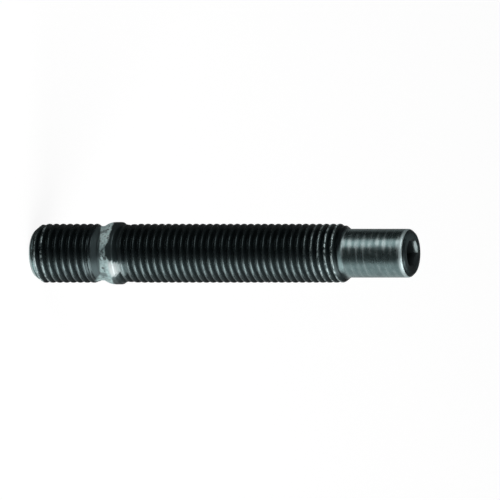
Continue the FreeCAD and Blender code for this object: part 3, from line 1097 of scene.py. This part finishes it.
def pale_floor_material():
    material = bpy.data.materials.new("pale_floor")
    tree, surface = empty_material(material)
    ray = tree.nodes.new("ShaderNodeLightPath").outputs
    mirrored = calc(tree, "MAXIMUM", ray["Is Glossy Ray"], ray["Is Transmission Ray"])
    seen = calc(tree, "MAXIMUM", ray["Is Camera Ray"], mirrored)
    paper = add_node(tree, "ShaderNodeBsdfDiffuse", (0.8, 0.8, 0.8, 1.0))
    thin_paper = add_node(tree, "ShaderNodeBsdfDiffuse", (0.24, 0.24, 0.24, 1.0))
    glow = add_node(tree, "ShaderNodeEmission", (0.89, 0.89, 0.89, 1.0), 1.0)
    white = add_node(tree, "ShaderNodeAddShader", thin_paper.outputs[0], glow.outputs[0])
    mixed = add_node(tree, "ShaderNodeMixShader", seen, paper.outputs[0], white.outputs[0])
    tree.links.new(mixed.outputs[0], surface)
    return material


floor = stage_sheet("pale_floor", [(-1, -1, 0), (1, -1, 0), (1, 1, 0), (-1, 1, 0)], [(0, 1, 2, 3)])
floor.data.materials.append(pale_floor_material())


def ring_sheet(name, inner, outer, height):
    """A flat ring round the stud that faces up."""
    around = np.linspace(0, TURN, 49)[:-1]
    points = [(r * math.cos(a), r * math.sin(a), height) for r in (inner, outer) for a in around]
    count = len(around)
    quads = [(k, count + k, count + (k + 1) % count, (k + 1) % count) for k in range(count)]
    return stage_sheet(name, points, quads)


def ring_material(name, stops):
    """A ring that is as light in a mirror as its stops say, where 1 is white.

    Each stop is an angle in degrees from the camera's side towards +X, and the light there. The first is at
    -180 and the last at 180.
    """
    material = bpy.data.materials.new(name)
    tree, surface = empty_material(material)
    coordinates = tree.nodes.new("ShaderNodeTexCoord").outputs["Object"]
    x, y, _ = add_node(tree, "ShaderNodeSeparateXYZ", coordinates).outputs
    turned = calc(tree, "ARCTAN2", x, calc(tree, "MULTIPLY", y, -1.0))
    share = calc(tree, "ADD", calc(tree, "DIVIDE", turned, TURN), 0.5)
    ramp = tree.nodes.new("ShaderNodeValToRGB")
    feed(tree, ramp, share)
    ramp.color_ramp.interpolation = "EASE"
    marks = ramp.color_ramp.elements
    for angle, light in stops[1:-1]:
        marks.new((angle + 180) / 360).color = (light, light, light, 1.0)
    for mark, (_, light) in ((marks[0], stops[0]), (marks[len(marks) - 1], stops[-1])):
        mark.color = (light, light, light, 1.0)
    glow = add_node(tree, "ShaderNodeEmission", ramp.outputs[0], 1.0)
    tree.links.new(glow.outputs[0], surface)
    return material


RING_HEIGHT = 0.3 * MM
# Each ring: its inner and outer radius in metres, and its stops.
RINGS = {
    "foot_ring": (0.004, 0.0078, [(-180, 0.03), (2, 0.03), (26, 0.8), (140, 0.8), (165, 0.1), (180, 0.03)]),
    "near_ring": (
        0.0078,
        0.125,
        [(-180, 0.1), (-150, 0.055), (24, 0.055), (54, 0.9), (92, 0.9), (122, 0.25), (180, 0.1)],
    ),
    "far_ring": (
        0.125,
        0.7,
        [
            (-180, 0.2),
            (-136, 0.2),
            (-118, 0.02),
            (-71, 0.02),
            (-58, 1.0),
            (-38, 1.0),
            (-23, 0.02),
            (36, 0.02),
            (64, 0.6),
            (140, 0.6),
            (180, 0.2),
        ],
    ),
}
for name, (inner, outer, stops) in RINGS.items():
    ring = ring_sheet(name, inner, outer, RING_HEIGHT)
    ring.data.materials.append(ring_material(name, stops))
    ring.visible_camera = ring.visible_diffuse = ring.visible_shadow = ring.visible_transmission = False
print("stage:", floor.name, list(RINGS))

# %% [markdown]
# The camera looks across the stud from a little above, turned a quarter so that the stud lies level in the
# picture. It has no perspective, so its scale is pixels for each metre, and its target follows from where the
# hub end's middle is to be seen. The light is soft: a large lamp to the camera's right, a weaker one on the
# other side, a weak one above, and a grey world that keeps the far side from going black.

# %% Camera
TILT = math.radians(22)
PIXELS_PER_METRE = 4930
PICTURE = 500
HUB_SEEN_AT = (37.6, 253.2)
RIGHT = Vector((0, math.sin(TILT), math.cos(TILT)))
UP = Vector((-1, 0, 0))
BACK = Vector((0, -math.cos(TILT), math.sin(TILT)))
target = (RIGHT * (PICTURE / 2 - HUB_SEEN_AT[0]) + UP * (HUB_SEEN_AT[1] - PICTURE / 2)) / PIXELS_PER_METRE

lens = bpy.data.cameras.new("camera")
lens.type = "ORTHO"
lens.ortho_scale = PICTURE / PIXELS_PER_METRE
lens.clip_start = 0.01
camera = bpy.data.objects.new("camera", lens)
turned = Matrix((RIGHT, UP, BACK)).transposed().to_4x4()
camera.matrix_world = Matrix.Translation(target + BACK * 0.6) @ turned
bpy.context.scene.collection.objects.link(camera)
bpy.context.scene.camera = camera
bpy.context.scene.view_settings.view_transform = "Standard"
print("camera at", [round(v, 4) for v in camera.matrix_world.translation])


# %% Lamps and world
def add_lamp(name, direction, distance, width, height, watts):
    """A soft lamp that looks at the stud's middle."""
    middle = Vector((0, 0, LENGTH / 2))
    light = bpy.data.lights.new(name, "AREA")
    light.shape = "RECTANGLE"
    light.size, light.size_y, light.energy = width, height, watts
    lamp = bpy.data.objects.new(name, light)
    lamp.visible_camera = False
    away = Vector(direction).normalized()
    turn = away.to_track_quat("Z", "Y").to_matrix().to_4x4()
    lamp.matrix_world = Matrix.Translation(middle + away * distance) @ turn
    bpy.context.scene.collection.objects.link(lamp)


add_lamp("side_lamp", (0.845, -0.42, 0.36), distance=0.6, width=0.56, height=1.1, watts=4.2)
add_lamp("front_lamp", (-0.70, -0.67, 0.24), distance=0.7, width=0.5, height=0.24, watts=1.35)
add_lamp("top_lamp", (0.36, 0.30, 0.88), distance=0.6, width=0.3, height=0.3, watts=0.3)
print("lamps:", {light.name: round(light.energy, 2) for light in bpy.data.lights})

world = bpy.data.worlds.new("grey_room")
bpy.context.scene.world = world
world.use_nodes = True
background = world.node_tree.nodes["Background"]
background.inputs["Color"].default_value = (0.09, 0.09, 0.09, 1)
background.inputs["Strength"].default_value = 1.0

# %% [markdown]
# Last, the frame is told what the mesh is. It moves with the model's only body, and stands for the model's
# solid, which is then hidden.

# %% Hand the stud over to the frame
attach(stud, "root")
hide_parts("stud")
